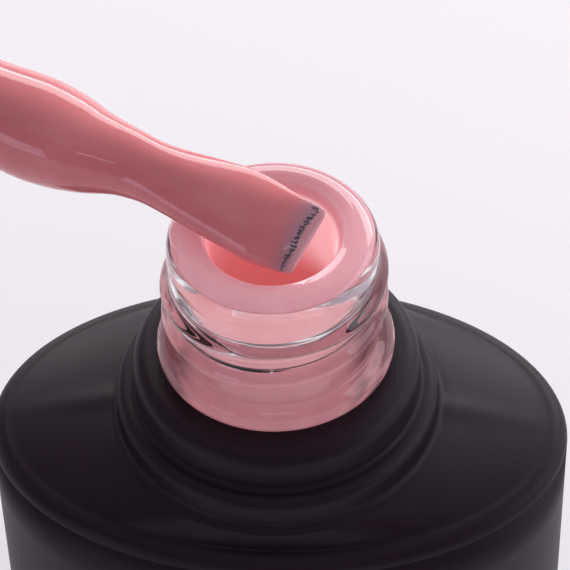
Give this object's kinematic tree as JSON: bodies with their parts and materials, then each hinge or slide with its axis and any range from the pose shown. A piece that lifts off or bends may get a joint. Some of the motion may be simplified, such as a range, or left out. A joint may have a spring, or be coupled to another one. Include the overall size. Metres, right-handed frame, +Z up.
{
  "type": "nail polish bottle",
  "caption": "Oval matte-lacquered glass bottle with a clear threaded neck, its capped brush applicator drawn out, with the loaded flat brush over the lip.",
  "frame": {"origin": "centre of the bottle's base, on the surface it stands on", "axes": "+Z up along the neck's bore, +X along the long side of the oval body; the applicator lies to -X, and -Y is the side the flat of the brush faces"},
  "size_m": [0.0797, 0.0452, 0.0612],
  "materials": {
    "clear_glass": "clear moulded glass, polished, with a fine matte tooth where it is lacquered",
    "matte_lacquer": "soft-touch matte black lacquer sprayed on glass",
    "sticker_paper": "blank matte paper sticker",
    "liquid_polish": "opaque dusty-pink gel polish, liquid",
    "cap_black": "soft-touch matte black plastic",
    "closure_white": "plain natural-white polypropylene",
    "washer_foam": "soft white foam liner",
    "stem_plastic": "smooth black polypropylene",
    "anchor_metal": "cut strip, bright",
    "bristle": "fine dark synthetic filaments",
    "gel_polish": "glossy wet dusty-pink gel polish"
  },
  "bodies": {
    "bottle": {"bottle_glass": "clear_glass", "lacquer_coat": "matte_lacquer", "base_sticker": "sticker_paper", "polish_fill": "liquid_polish"},
    "applicator": {"cap_shell": "cap_black", "inner_closure": "closure_white", "sealing_washer": "washer_foam", "brush_stem": "stem_plastic", "bristle_anchor": "anchor_metal", "bristle_roots": "bristle", "polish_on_stem": "gel_polish"},
    "tuft": {"bristles": "bristle", "polish_on_bristles": "gel_polish"}
  },
  "joints": [
    {"name": "applicator_withdraw", "type": "slide", "parent": "bottle", "child": "applicator", "axis": [-0.9042, 0.4236, 0.0541], "range_m": [0, 0.04]},
    {"name": "bristle_flex", "type": "hinge", "parent": "applicator", "child": "tuft", "pos_m": [-0.00769, 0.0025, 0.04947], "axis": [-0.3631, -0.6959, -0.6196], "range_deg": [0, 25], "stiffness_Nm_per_rad": 0.002}
  ]
}
